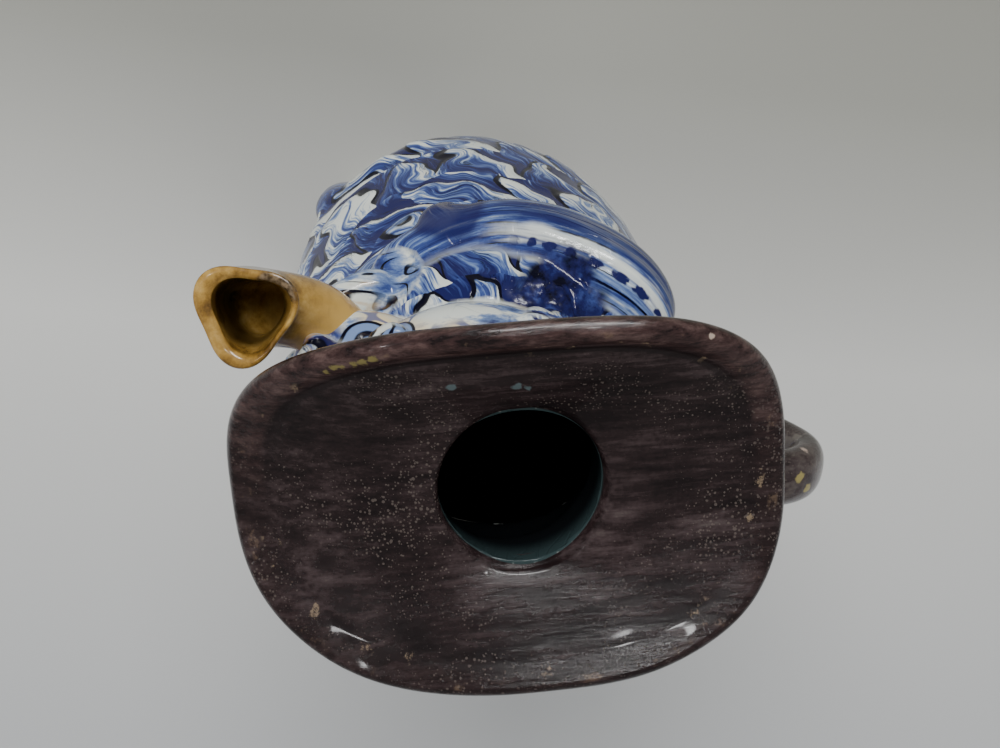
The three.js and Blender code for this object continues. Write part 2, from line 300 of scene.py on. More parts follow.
# The hat's crown and the hollow
# The clay is open from the hat down: the hollow of the head leads into the belly, and a bore runs
# from the head into the horn. The brim's rule is needed here, because the crown ends in the brim.
BRIM_LENGTH = 0.14
BRIM_WIDTH = 0.0955
BRIM_FRONT_SHIFT = 0.003
SIDE_CURL = 0.019
FRONT_DROOP = 0.015
BACK_RISE = 0.0015
NECK_DEPTH = 0.011
HAT_TURN = math.radians(10.7)


def brim_reach(y):
    return BRIM_LENGTH / 2 + np.where(y < 0, BRIM_FRONT_SHIFT, -BRIM_FRONT_SHIFT)


def brim_height(x, y):
    """Height of the brim's upper side, along and across the hat itself."""
    return (FIGURE_HEIGHT + SIDE_CURL * (np.abs(x) / (BRIM_WIDTH / 2)) ** 2.2
            + np.where(y < 0, -FRONT_DROOP, BACK_RISE) * (np.abs(y) / brim_reach(y)) ** 2)


def set_askew(points):
    turn = np.array([[math.cos(HAT_TURN), -math.sin(HAT_TURN), 0],
                     [math.sin(HAT_TURN), math.cos(HAT_TURN), 0], [0, 0, 1]])
    return points @ turn.T


angles = full_turn(72)
crown_rings = []
crown_foot = HEAD_CENTRE[2] + share(0.02)
for radius, lift in ((HEAD_HALF * 0.5, 0), (HEAD_HALF * 0.94, 0), (HEAD_HALF * 0.92, 0.35),
                     (HEAD_HALF * 0.89, 0.7), (HEAD_HALF * 0.87, 1), (HEAD_HALF * 0.5, 1)):
    x, y = radius * np.cos(angles), radius * np.sin(angles)
    top = brim_height(x, y) - BRIM_THICKNESS * 0.85
    crown_rings.append(set_askew(np.stack([x, y, blend(crown_foot, top, lift)], -1)))
crown = skin("crown", crown_rings)

inner_heights = np.linspace(FLOOR_THICKNESS, NECK_HEIGHT + WALL, 40)
inner = [(max(body_radius(min(height, NECK_HEIGHT)) - WALL, MOUTH_BORE / 2), height)
         for height in inner_heights]
hollow_top = FIGURE_HEIGHT - NECK_DEPTH
hollow_foot = HEAD_CENTRE[2] - HEAD_HALF_HEIGHT + WALL
SPOUT_LINE, SPOUT_ALONG = bending([
    on_head(HEAD_HALF * 0.3, 0, -share(0.06)), on_head(HEAD_HALF * 0.95, HEAD_HALF * 0.08, -share(0.07)),
    on_head(HEAD_HALF * 1.4, HEAD_HALF * 0.26, -share(0.065)), place(-0.15, -0.345, 0.815),
    place(-0.168, -0.36, 0.9)], 401)
SPOUT_BORE = 0.013
HEAD_HOLLOW = ([HEAD_CENTRE[0], HEAD_CENTRE[1], (hollow_top + hollow_foot) / 2],
               HEAD_HALF - WALL, HEAD_HALF * 1.06 - WALL, (hollow_top - hollow_foot) / 2)
hollows = [
    thrown("belly_hollow", [(FOOT_DIAMETER / 2 - WALL * 2, FLOOR_THICKNESS)] + inner[1:], 96),
    lump("head_hollow", *HEAD_HOLLOW, around=64, count=32),
    limb("filling_bore", [[0, 0, HEAD_CENTRE[2] - 0.004], [0, 0, HEAD_CENTRE[2] + 0.025],
                          [0, 0, FIGURE_HEIGHT + SIDE_CURL]], lambda t: MOUTH_BORE / 2,
         side=AHEAD, around=72),
    limb("horn_bore", SPOUT_LINE[0:201:50], lambda t: SPOUT_BORE / 2 + 0.0006, around=24),
]


def set_up(name, data):
    """A new object of this form, lens or lamp, standing in the scene."""
    made = bpy.data.objects.new(name, data)
    bpy.context.scene.collection.objects.link(made)
    return made


def gathered(name, meshes):
    """All these closed forms as one object."""
    shape = bmesh.new()
    for mesh in meshes:
        shape.from_mesh(mesh)
    joined = bpy.data.meshes.new(name)
    shape.to_mesh(joined)
    shape.free()
    return set_up(name, joined)


def settled(made):
    """Takes what an object's modifiers make of it as its own mesh."""
    seen = made.evaluated_get(bpy.context.evaluated_depsgraph_get())
    mesh = bpy.data.meshes.new_from_object(seen)
    made.modifiers.clear()
    made.data = mesh
    return made


FINE_VOXEL = 0.00125
COARSE_VOXEL = 0.002


def luted(made, voxel, smoothing):
    """Joins overlapping forms into one surface, as slip and fingers do, and softens it."""
    join = made.modifiers.new("luting", "REMESH")
    join.mode = "VOXEL"
    join.voxel_size = voxel
    soften = made.modifiers.new("softening", "SMOOTH")
    soften.factor = 0.5
    soften.iterations = smoothing
    return settled(made)


figure = luted(gathered("figure", [pot, crown] + head_lumps + limbs), FINE_VOXEL, 5)
hollow = luted(gathered("hollow", hollows), COARSE_VOXEL, 4)
carve = figure.modifiers.new("hollow", "BOOLEAN")
carve.object = hollow
carve.operation = "DIFFERENCE"
carve.solver = "MANIFOLD"
settled(figure)
bpy.data.objects.remove(hollow)

# The foot stands flat
points = np.empty(len(figure.data.vertices) * 3)
figure.data.vertices.foreach_get("co", points)
points = points.reshape(-1, 3)
points[:, 2] = np.maximum(points[:, 2], 0)
figure.data.vertices.foreach_set("co", points.ravel())


# The coat
# Rows of overlapping flame-shaped tufts are pressed up from the wet clay all over the belly and legs.
# The same rule later lays the dark outlines and the cobalt washes over them.
TUFT_COLUMNS = 15
TUFT_ROWS = 6.5
TUFT_RELIEF = 0.0011
COAT_FOOT = share(0.06)
TUFT_HEIGHT = (share(0.69) - COAT_FOOT) / TUFT_ROWS
TUFT_LEAN = 0.55
TUFT_POINT = 0.85
WANDER = 0.62


def node(tree, kind, inputs=None, **settings):
    """A node with its settings made, and each named input linked or set."""
    made = tree.nodes.new(kind)
    for name, value in settings.items():
        setattr(made, name, value)
    for name, value in (inputs or {}).items():
        if isinstance(value, bpy.types.NodeSocket):
            tree.links.new(value, made.inputs[name])
        else:
            made.inputs[name].default_value = value
    return made


def reckon(operation, *values):
    """One step of arithmetic, in the node tree that its values come from."""
    tree = next(value.id_data for value in values if isinstance(value, bpy.types.NodeSocket))
    return node(tree, "ShaderNodeMath", dict(enumerate(values)), operation=operation).outputs[0]


def plus(total, *others):
    for other in others:
        total = reckon("ADD", total, other)
    return total


def minus(one, other):
    return reckon("SUBTRACT", one, other)


def times(one, other):
    return reckon("MULTIPLY", one, other)


def split(vector):
    """The three parts of a vector."""
    return node(vector.id_data, "ShaderNodeSeparateXYZ", {0: vector}).outputs


def scaled(spot, size):
    return node(spot.id_data, "ShaderNodeVectorMath", {0: spot, 1: size}, operation="MULTIPLY").outputs[0]


def mottle(spot, scale, detail=2.0, stretch=(1, 1, 1), roughness=0.5, output=0):
    """Cloudy noise from 0 to 1, its clouds drawn out where stretch is small."""
    inputs = {"Vector": scaled(spot, stretch), "Scale": scale, "Detail": detail, "Roughness": roughness}
    return node(spot.id_data, "ShaderNodeTexNoise", inputs).outputs[output]


def step(value, start, end):
    """0 before start and 1 past end, smoothly; start may be the larger."""
    return node(value.id_data, "ShaderNodeMapRange", {"Value": value, "From Min": start, "From Max": end},
                interpolation_type="SMOOTHSTEP").outputs[0]


def tuft_rule(spot):
    """Where a point lies in its tuft: height over the tip's edge, place across, shadow and chance."""
    parts = split(spot)
    drift = split(mottle(spot, 34, output=1))
    turn = reckon("DIVIDE", reckon("ARCTAN2", parts[1], parts[0]), math.tau / TUFT_COLUMNS)
    row = reckon("DIVIDE", minus(parts[2], COAT_FOOT), TUFT_HEIGHT)
    row = plus(row, times(minus(drift[0], 0.5), WANDER * 2))
    lean = times(reckon("FRACT", row), TUFT_LEAN)
    sway = times(minus(drift[1], 0.5), WANDER * 3.2)
    column = plus(lean, sway, turn)

    def cell(level):
        half = times(reckon("FLOORED_MODULO", level, 2), 0.5)
        place_in_row = plus(column, half)
        across = minus(reckon("FRACT", place_in_row), 0.5)
        slope = reckon("POWER", reckon("ABSOLUTE", times(across, 2)), 1.5)
        number = plus(reckon("FLOOR", place_in_row), times(level, 37.0))
        over = minus(minus(row, level), times(slope, TUFT_POINT))
        return over, across, number

    upper = reckon("FLOOR", row)
    over_upper, across_upper, number_upper = cell(upper)
    over_lower, across_lower, number_lower = cell(minus(upper, 1))
    under = reckon("LESS_THAN", over_upper, 0)

    def chosen(low, high):
        kept = times(high, minus(1, under))
        return plus(kept, times(low, under))

    chance = node(spot.id_data, "ShaderNodeTexWhiteNoise", {"W": chosen(number_lower, number_upper)},
                  noise_dimensions="1D").outputs["Value"]
    shadow = times(under, step(over_upper, -0.45, 0))
    return {"over": chosen(over_lower, over_upper), "across": chosen(across_lower, across_upper),
            "edge": reckon("ABSOLUTE", over_upper), "shadow": shadow, "chance": chance}


def gap_to_limb(points, stations, width, count=90):
    """How far points lie off a limb's skin, how far along it and at what angle."""
    line, along = bending(stations, count)
    gap = np.full(len(points), 1.0)
    run = np.zeros(len(points))
    around = np.zeros(len(points))
    for k in range(count):
        off = points - line[k]
        reach = np.linalg.norm(off, axis=1) - width(k / (count - 1))
        nearer = reach < gap
        across = UPRIGHT - along[k] * (UPRIGHT @ along[k])
        across /= np.linalg.norm(across)
        over = np.cross(along[k], across)
        gap[nearer] = reach[nearer]
        run[nearer] = k / (count - 1)
        around[nearer] = np.arctan2(off[nearer] @ over, off[nearer] @ across) / math.pi
    return gap, run, around


def gap_to_lump(points, centre, half_x, half_y, half_z, turn=HEAD_TURN):
    off = points - np.asarray(centre)
    x = off[:, 0] * math.cos(turn) + off[:, 1] * math.sin(turn)
    y = off[:, 1] * math.cos(turn) - off[:, 0] * math.sin(turn)
    return (np.sqrt((x / half_x) ** 2 + (y / half_y) ** 2 + (off[:, 2] / half_z) ** 2) - 1) * min(
        half_x, half_y, half_z)


def covered(gap, reach=0.0012):
    return np.clip(1 - gap / reach, 0, 1)


def marked(made, name, values, kind="FLOAT"):
    layer = made.data.attributes.new(name, kind, "POINT")
    field = "value" if kind == "FLOAT" else "vector"
    layer.data.foreach_set(field, np.asarray(values, np.float32).ravel())


from_axis = np.hypot(points[:, 0], points[:, 1])
angle = np.arctan2(points[:, 1], points[:, 0])
height = points[:, 2]
walls_middle = body_radius(height) + back_hump(angle, height) - WALL * 0.6
skin_depth = 0.0012
in_belly = (from_axis < walls_middle) & (height > FLOOR_THICKNESS * 0.8) & (height < share(0.72))
in_head = gap_to_lump(points, *HEAD_HOLLOW) < skin_depth
in_neck = (from_axis < MOUTH_BORE / 2 + 0.001) & (height > share(0.7))
in_horn = gap_to_limb(points, SPOUT_LINE[0:241:60], lambda t: SPOUT_BORE / 2)[0] < skin_depth
inside = (in_belly | in_head | in_neck | in_horn).astype(float)

head = covered(np.minimum(gap_to_lump(points, *SKULL), gap_to_lump(points, *MUZZLE)))
head = np.maximum(head, covered(HEAD_CENTRE[2] - height + share(0.03), 0.001) * (from_axis < 0.06))
sleeve = np.zeros(len(points))
paw = np.zeros(len(points))
run_of_sleeve = np.zeros((len(points), 3))
for side in (-1, 1):
    gap, run, around = gap_to_limb(points, SLEEVES[side], lambda t: sleeve_width(t) * blunt(t))
    here = covered(gap, 0.002)
    run_of_sleeve[here > 0] = np.stack([run, around * side, 0 * run + side], -1)[here > 0]
    sleeve = np.maximum(sleeve, here)
    paw = np.maximum(paw, covered(gap_to_limb(points, PAWS[side], lambda t: share(0.046 - 0.014 * t))[0]))
sleeve *= 1 - paw
outside = 1 - inside
marked(figure, "inside", inside)
marked(figure, "head", head * outside * (1 - paw) * (1 - sleeve))
marked(figure, "sleeve", sleeve * outside)
marked(figure, "paw", paw * outside)
marked(figure, "sleeve_run", run_of_sleeve, "FLOAT_VECTOR")
on_foot = (height < FOOT_HEIGHT + 0.001) & (points[:, 1] > -0.0435)
coat_cover = outside * (1 - head) * (1 - sleeve) * (1 - paw) * (1 - on_foot)
marked(figure, "coat", coat_cover)

coat_tree = bpy.data.node_groups.new("coat_of_tufts", "GeometryNodeTree")
interface = coat_tree.interface
interface.new_socket("Geometry", in_out="INPUT", socket_type="NodeSocketGeometry")
interface.new_socket("Relief", in_out="INPUT", socket_type="NodeSocketFloat")
interface.new_socket("Glaze", in_out="INPUT", socket_type="NodeSocketMaterial")
interface.new_socket("Geometry", in_out="OUTPUT", socket_type="NodeSocketGeometry")
given = node(coat_tree, "NodeGroupInput").outputs
tuft = tuft_rule(node(coat_tree, "GeometryNodeInputPosition").outputs[0])
swell = times(step(tuft["over"], 1.25, 0.1), step(tuft["over"], -0.02, 0.16))
crest = step(reckon("ABSOLUTE", tuft["across"]), 0.62, 0.05)
rise = minus(times(swell, crest), 0.35)
kept = node(coat_tree, "GeometryNodeInputNamedAttribute", {"Name": "coat"}, data_type="FLOAT").outputs[0]
rise = times(times(rise, kept), given["Relief"])
push = node(coat_tree, "ShaderNodeVectorMath", {0: node(coat_tree, "GeometryNodeInputNormal").outputs[0],
                                                "Scale": rise}, operation="SCALE").outputs[0]
pressed = node(coat_tree, "GeometryNodeSetPosition", {"Geometry": given["Geometry"], "Offset": push})
real = node(coat_tree, "GeometryNodeRealizeInstances", {0: pressed.outputs[0]})
finished = node(coat_tree, "GeometryNodeSetMaterial", {"Geometry": real.outputs[0],
                                                       "Material": given["Glaze"]})
coat_tree.links.new(finished.outputs[0], node(coat_tree, "NodeGroupOutput").inputs[0])


def set_input(modifier, name, value):
    """Sets a tree's input by the identifier of its socket."""
    sockets = {item.name: item.identifier for item in modifier.node_group.interface.items_tree
               if item.in_out == "INPUT"}
    modifier[sockets[name]] = value


tufts = figure.modifiers.new("coat", "NODES")
tufts.node_group = coat_tree
set_input(tufts, "Relief", TUFT_RELIEF)


# The painting
# The dry white glaze is painted in cobalt before the last firing: washes and dark outlines on each tuft,
# long strokes and a dotted band on the sleeves, curls, eyes and muzzle on the head. The recess over each
# sleeve is cobalt darkened to near-black, which is painted shade; the paint runs into ochre at the horn's
# root.
WHITE = (0.74, 0.78, 0.73, 1)
CREAM = (0.80, 0.66, 0.40, 1)
PALE_BLUE = (0.19, 0.28, 0.50, 1)
MID_BLUE = (0.045, 0.075, 0.255, 1)
COBALT = (0.013, 0.015, 0.090, 1)
OUTLINE = (0.003, 0.003, 0.012, 1)
OCHRE = (0.60, 0.36, 0.11, 1)
SHADED_NECK_GLAZE = (0.028, 0.046, 0.048, 1)
INSIDE_SHADE = (0.004, 0.005, 0.006, 1)
EYE_RINGS = (0.0068, 0.0092, 0.0118)
EAR_RINGS = (0.006, 0.0095)
RECESS_HALF = 0.0235


def glaze(name):
    """A new glaze: its node tree, a place on the piece and the shader that it ends in."""
    made = bpy.data.materials.new(name)
    made.use_nodes = True
    tree = made.node_tree
    spot = node(tree, "ShaderNodeTexCoord").outputs["Object"]
    return made, tree, spot, tree.nodes["Principled BSDF"]


def washed(part, under, over, strength=1):
    """One colour over another where part is 1, as far as strength says."""
    part = part if strength == 1 else times(part, strength)
    return node(part.id_data, "ShaderNodeMix", {0: part, 6: under, 7: over}, data_type="RGBA").outputs[2]


def shades(value, *stops):
    made = node(value.id_data, "ShaderNodeValToRGB", {0: value})
    ramp = made.color_ramp
    while len(ramp.elements) < len(stops):
        ramp.elements.new(0.5)
    for element, (place_on_ramp, colour) in zip(ramp.elements, stops):
        element.position = place_on_ramp
        element.color = colour
    return made.outputs[0]


def fired(shader, colour, spot, relief, roughness=0.13, depth=0.0004, coat=0.6, gleam=0.5):
    """A glossy fired skin with the slight waves and pinholes of a brushed glaze."""
    tree = spot.id_data
    tree.links.new(colour, shader.inputs["Base Color"])
    waves = mottle(spot, 130, 3)
    cells = node(tree, "ShaderNodeTexVoronoi", {"Vector": spot, "Scale": 420}).outputs[0]
    pits = step(cells, 0.16, 0.05)
    height = plus(minus(times(waves, 0.5), times(pits, 0.25)), relief)
    bump = node(tree, "ShaderNodeBump", {"Height": height, "Strength": 0.6, "Distance": depth})
    tree.links.new(bump.outputs[0], shader.inputs["Normal"])
    sheen = plus(times(mottle(spot, 60, 3), 0.16), roughness, -0.08)
    tree.links.new(sheen, shader.inputs["Roughness"])
    shader.inputs["Coat Weight"].default_value = coat
    shader.inputs["Coat Roughness"].default_value = 0.06
    shader.inputs["Specular IOR Level"].default_value = gleam


paint, tree, spot, shader = glaze("painted_tin_glaze")


def layer_of(name, kind="Fac"):
    return node(tree, "ShaderNodeAttribute", attribute_name=name).outputs[kind]


def lines(value, at, width):
    """1 on a thin line where value passes at."""
    off = reckon("ABSOLUTE", minus(value, at))
    return step(off, width, width * 0.45)


def uneven(value, scale, detail, reach, roughness=0.5):
    """A value made uneven by cloudy noise."""
    return plus(value, times(mottle(spot, scale, detail, roughness=roughness), reach))


def repeated_lines(value, width):
    """1 on a thin line at the middle of every whole step of value."""
    return lines(reckon("FRACT", value), 0.5, width)


def broken(mask, scale, detail, start, end):
    """A mask left standing only in cloudy patches."""
    return times(mask, step(mottle(spot, scale, detail), start, end))


def blues(value, white, pale, middle, dark):
    """From white glaze through pale washes to full cobalt, turning at these values."""
    return shades(value, (white, WHITE), (pale, PALE_BLUE), (middle, MID_BLUE), (dark, COBALT))


rule = tuft_rule(spot)
chance = rule["chance"]
strokes_at = node(tree, "ShaderNodeCombineXYZ", {0: times(rule["across"], 4.2),
                                                 1: times(rule["over"], 0.55),
                                                 2: times(chance, 40)}).outputs[0]
strokes = mottle(strokes_at, 2.6, 4, roughness=0.62)
depth_of_blue = plus(
    times(rule["over"], 0.30), times(rule["across"], 0.42), times(minus(strokes, 0.5), 1.5),
    times(minus(chance, 0.5), 0.30), times(rule["shadow"], 0.28), 0.19)
coat = blues(depth_of_blue, 0.17, 0.29, 0.42, 0.62)
line_width = plus(0.035, times(mottle(spot, 90, 1), 0.13))
outline = minus(1, node(tree, "ShaderNodeMapRange", {
    "Value": rule["edge"], "From Min": times(line_width, 0.55), "From Max": line_width},
    interpolation_type="SMOOTHSTEP").outputs[0])
coat = washed(broken(outline, 45, 1, 0.26, 0.36), coat, OUTLINE)
hair = broken(repeated_lines(times(strokes, 5.0), 0.10), 75, 2, 0.52, 0.62)
coat = washed(hair, coat, OUTLINE, 0.85)
creamy = step(mottle(spot, 26, 2), 0.60, 0.72)
creamy = times(creamy, step(depth_of_blue, 0.27, 0.19))
coat = washed(creamy, coat, CREAM, 0.6)

run = split(layer_of("sleeve_run", "Vector"))
sleeve_place = node(tree, "ShaderNodeCombineXYZ", {0: times(run[0], 1.6),
                                                   1: times(run[1], 7)}).outputs[0]
sleeve_strokes = mottle(sleeve_place, 2.3, 7, roughness=0.66)
sleeve_blue = uneven(sleeve_strokes, 28, 2, 0.35)
sleeve_paint = blues(sleeve_blue, 0.52, 0.62, 0.72, 0.86)
wavy = plus(times(run[1], 13.0), times(mottle(sleeve_place, 1.1, 2), 1.6))
folds = broken(repeated_lines(wavy, 0.10), 52, 2, 0.44, 0.54)
sleeve_paint = washed(folds, sleeve_paint, OUTLINE)
dot_along = minus(reckon("FRACT", times(run[0], 21)), 0.5)
dot_across = times(plus(run[1], 0.12), 9)
dots = reckon("SQRT", plus(times(dot_along, dot_along), times(dot_across, dot_across)))
dots = uneven(dots, 170, 2, 0.35)
dots = times(step(dots, 0.52, 0.40), step(run[0], 0.5, 0.4))
band_place = uneven(run[1], 60, 3, 0.16)
band = times(lines(band_place, -0.30, 0.16), step(run[0], 0.62, 0.40))
sleeve_paint = washed(band, sleeve_paint, COBALT, 0.8)
pale_fringe = times(lines(band_place, -0.10, 0.09), step(run[0], 0.62, 0.40))
pale_fringe = times(pale_fringe, step(mottle(sleeve_place, 2.6, 5), 0.66, 0.46))
sleeve_paint = washed(pale_fringe, sleeve_paint, WHITE, 0.85)
sleeve_paint = washed(dots, sleeve_paint, COBALT)

head_blue = uneven(mottle(spot, 44, 6, stretch=(1, 1, 2.4), roughness=0.66), 160, 2, 0.08)
head_paint = shades(head_blue, (0.50, WHITE), (0.57, WHITE), (0.63, PALE_BLUE), (0.74, COBALT))
head_paint = washed(step(mottle(spot, 30, 2), 0.46, 0.60), head_paint, CREAM)
curls = broken(repeated_lines(times(mottle(spot, 34, 1), 7), 0.07), 48, 2, 0.44, 0.54)
head_paint = washed(curls, head_paint, MID_BLUE, 0.8)


def away_from(point):
    return node(tree, "ShaderNodeVectorMath", {0: spot, 1: tuple(point)},
                operation="DISTANCE").outputs["Value"]


muzzle_off = away_from(on_head(HEAD_HALF * 1.25, 0, 0))
muzzle_blue = step(uneven(muzzle_off, 120, 2, 0.012), 0.0215, 0.017)
muzzle_paint = shades(mottle(spot, 260, 4, roughness=0.7), (0.36, COBALT), (0.56, MID_BLUE), (0.74, WHITE))
head_paint = washed(muzzle_blue, head_paint, muzzle_paint)
for side in (-1, 1):
    pupil = EYES[side] + FACING * share(0.034) + HEAD_RIGHT * side * share(0.012)
    off = away_from(pupil)
    head_paint = washed(step(off, 0.0125, 0.0115), head_paint, PALE_BLUE)
    head_paint = washed(step(off, EYE_RINGS[0], 0.006), head_paint, WHITE)
    for ring in EYE_RINGS:
        head_paint = washed(lines(off, ring, 0.0006), head_paint, OUTLINE)
    head_paint = washed(step(off, 0.0027, 0.0021), head_paint, OUTLINE)
    ear = on_head(-HEAD_HALF * 0.15, side * HEAD_HALF * 1.1, share(0.01))
    ear_off = away_from(ear)
    for ring in EAR_RINGS:
        head_paint = washed(lines(ear_off, ring, 0.0007), head_paint, COBALT)

paw_blue = mottle(spot, 120, 6, stretch=(1, 0.26, 1), roughness=0.62)
paw_paint = blues(paw_blue, 0.44, 0.52, 0.60, 0.72)
paw_lines = repeated_lines(times(mottle(spot, 70, 1, stretch=(1, 0.3, 1)), 9), 0.10)
paw_lines = broken(paw_lines, 60, 2, 0.40, 0.50)
paw_paint = washed(paw_lines, paw_paint, OUTLINE)

colour = WHITE
for name, over in (("coat", coat), ("head", head_paint), ("sleeve", sleeve_paint), ("paw", paw_paint)):
    colour = washed(layer_of(name), colour, over)
ripples = times(outline, -0.35)
for side in (-1, 1):
    cuff_off = uneven(away_from(place(side * 0.245, -0.085, 0.63)), 90, 2, 0.006)
    colour = washed(step(cuff_off, 0.016, 0.012), colour, COBALT, 0.9)
    # The recess over each sleeve: deep cobalt pooled there, darkened towards black as painted shade.
    hollow_off = uneven(away_from(place(side * 0.19, 0.06, 0.765)), 80, 3, 0.016)
    in_hollow = step(hollow_off, RECESS_HALF, RECESS_HALF - 0.005)
    ink_and_shade = shades(mottle(spot, 150, 4, roughness=0.65),
                  (0.40, OUTLINE), (0.56, COBALT), (0.72, MID_BLUE))
    colour = washed(in_hollow, colour, ink_and_shade)
    ripples = plus(ripples, times(in_hollow, times(mottle(spot, 170, 2), 2.6)))
root_off = uneven(away_from(place(-0.175, -0.285, 0.80)), 70, 2, 0.014)
colour = washed(step(root_off, 0.018, 0.011), colour, OCHRE)
ochre_strokes = step(mottle(spot, 110, 4, stretch=(1, 0.25, 1)), 0.54, 0.60)
ochre_strokes = times(ochre_strokes, step(root_off, 0.040, 0.024))
colour = washed(ochre_strokes, colour, OCHRE, 0.8)
# The hollow inside is painted near-black, and only the top of the neck a dark blue-green: painted shade
# over the blue-green glaze inside.
near_the_top = step(split(spot)[2], share(0.935), share(0.985))
inside_shade = washed(near_the_top, INSIDE_SHADE, SHADED_NECK_GLAZE)
colour = washed(layer_of("inside"), colour, inside_shade)
fired(shader, colour, spot, ripples, coat=0.12, gleam=0.2)

set_input(tufts, "Glaze", paint)
settled(figure)


def hand_over(made):
    """Smooth, carried by the jug's one body, in the place of its plain solid."""
    made.data.shade_smooth()
    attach(made, "root")
    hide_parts("jug")


hand_over(figure)


# The horn
# The spout is rolled and bent from clay, thick-lipped, flared and pinched to three corners at its
# mouth. It is covered in ochre; the lip is worn and chipped to the brown body at one side.
SPOUT_WALL = 0.0036
SPOUT_MOUTH = 0.0262
LIP_SHIFT = 0.0014
LIP_START = 0.985
HORN_ROOT = 0.27
BURNT_OCHRE = (0.11, 0.055, 0.012, 1)
DARK_OCHRE = (0.25, 0.135, 0.026, 1)
FULL_OCHRE = (0.40, 0.235, 0.055, 1)
THIN_OCHRE = (0.56, 0.37, 0.12, 1)
DARK_BODY = (0.06, 0.035, 0.014, 1)
PALE_BODY = (0.24, 0.17, 0.10, 1)


def flare(t):
    return max(0.0, (t - 0.5) / 0.5) ** 1.6


def horn_ring(t, half_width, ahead=0.0, shift=0.0, pinch=0.13, around=72):
    at = t * 400
    middle = np.array([np.interp(at, range(401), SPOUT_LINE[:, k]) for k in range(3)])
    along = np.array([np.interp(at, range(401), SPOUT_ALONG[:, k]) for k in range(3)])
    side = np.array([1.0, 0, 0])
    across = side - along * (side @ along)
    across /= np.linalg.norm(across)
    over = np.cross(along, across)
    angles = full_turn(around)
    width = (half_width * (1 + pinch * flare(t) * np.cos(3 * angles)))[:, None]
    middle = middle + along * ahead + np.array([0, shift * flare(t), 0])
    return (middle + across * np.cos(angles)[:, None] * width
            - over * np.sin(angles)[:, None] * width)


def outer(t):
    return blend(SPOUT_BORE / 2 + SPOUT_WALL, SPOUT_MOUTH / 2, flare(t))


def inner_half(t):
    return blend(SPOUT_BORE, SPOUT_MOUTH - 1.7 * SPOUT_WALL, flare(t)) / 2


rings = [horn_ring(t, outer(t)) for t in np.linspace(HORN_ROOT, LIP_START, 60)]
for turn in np.linspace(0, math.pi, 10)[1:-1]:
    lip = (outer(1) - inner_half(1)) / 2
    rings.append(horn_ring(1, (outer(1) + inner_half(1)) / 2 + lip * math.cos(turn),
                           0.0012 * (math.sin(turn) - 1), LIP_SHIFT * (1 - math.cos(turn)) / 2))
rings += [horn_ring(t, inner_half(t), shift=LIP_SHIFT) for t in np.linspace(LIP_START, HORN_ROOT, 60)]
horn = gathered("horn", [skin("horn", rings, closed_loop=True)])

ochre, tree, spot, shader = glaze("ochre_glaze")
toned = mottle(spot, 130, 7, roughness=0.68)
colour = shades(toned, (0.36, BURNT_OCHRE), (0.47, DARK_OCHRE), (0.58, FULL_OCHRE), (0.72, THIN_OCHRE))
horn_foot = SPOUT_LINE[148]
root_off = away_from(horn_foot)
colour = washed(step(root_off, 0.026, 0.010), colour, (0.62, 0.38, 0.10, 1))
bands = step(mottle(spot, 300, 3, stretch=(0.3, 1, 0.3)), 0.58, 0.72)
colour = washed(bands, colour, (0.30, 0.18, 0.05, 1), 0.5)
chip_off = away_from(SPOUT_LINE[-1] + np.array([-0.0072, 0.0070, 0.001]))
chip = step(uneven(chip_off, 260, 3, 0.005), 0.0085, 0.0065)
chip_colour = shades(mottle(spot, 700, 3), (0.38, DARK_BODY), (0.62, PALE_BODY))
colour = washed(chip, colour, chip_colour)
# Deep in the bore the ochre turns near-black: painted shade in the throat of the horn.
throat = SPOUT_LINE[330]
colour = washed(step(away_from(throat), 0.0135, 0.0085), colour, (0.012, 0.007, 0.002, 1), 0.95)
fired(shader, colour, spot, times(chip, mottle(spot, 500, 3)), 0.2)
horn.data.materials.append(ochre)
hand_over(horn)


# The handle
# A pulled strap runs from under the back of the hat, out past the brim and down into the back. Its
# lower end is pressed out on the clay, and it has the manganese brown of the hat, worn through in spots.
HANDLE_WIDTH = 0.017
HANDLE_THICKNESS = 0.012
HANDLE_SHOW = 0.025
FINGER_GAP = 0.015


def back_at(height):
    return float(body_radius(height) + back_hump(math.pi / 2, height))


handle_foot = share(0.44)
handle_out = BRIM_LENGTH / 2 - BRIM_FRONT_SHIFT + HANDLE_SHOW - HANDLE_THICKNESS / 2
handle_clear = FINGER_GAP + HANDLE_THICKNESS / 2
strap_line, strap_along = bending([
    (0, HEAD_HALF * 0.72, share(0.885)), (0, handle_out - HANDLE_THICKNESS, share(0.905)),
    (0, handle_out, share(0.85)), (0, back_at(share(0.72)) + handle_clear, share(0.72)),
    (0, back_at(share(0.58)) + handle_clear * 0.72, share(0.58)),
    (0, back_at(handle_foot) - WALL / 2, handle_foot)], 110)
angles = full_turn(40)
rings = []
for k, (middle, along) in enumerate(zip(strap_line, strap_along)):
    t = k / (len(strap_line) - 1)
    pressed_out = 1 + 0.28 * hump(1 - t, 0.05) - 0.04 * math.sin(3 * math.pi * t)
    over = np.cross(along, (1.0, 0, 0))
    half = HANDLE_WIDTH / 2 * pressed_out
    groove = 1 - 0.06 * np.abs(np.sin(angles)) ** 8
    rings.append(middle + np.cos(angles)[:, None] * half * np.array([1.0, 0, 0])
                 + (np.sin(angles) * groove)[:, None] * over * HANDLE_THICKNESS / 2)
handle = gathered("handle", [skin("handle", rings)])


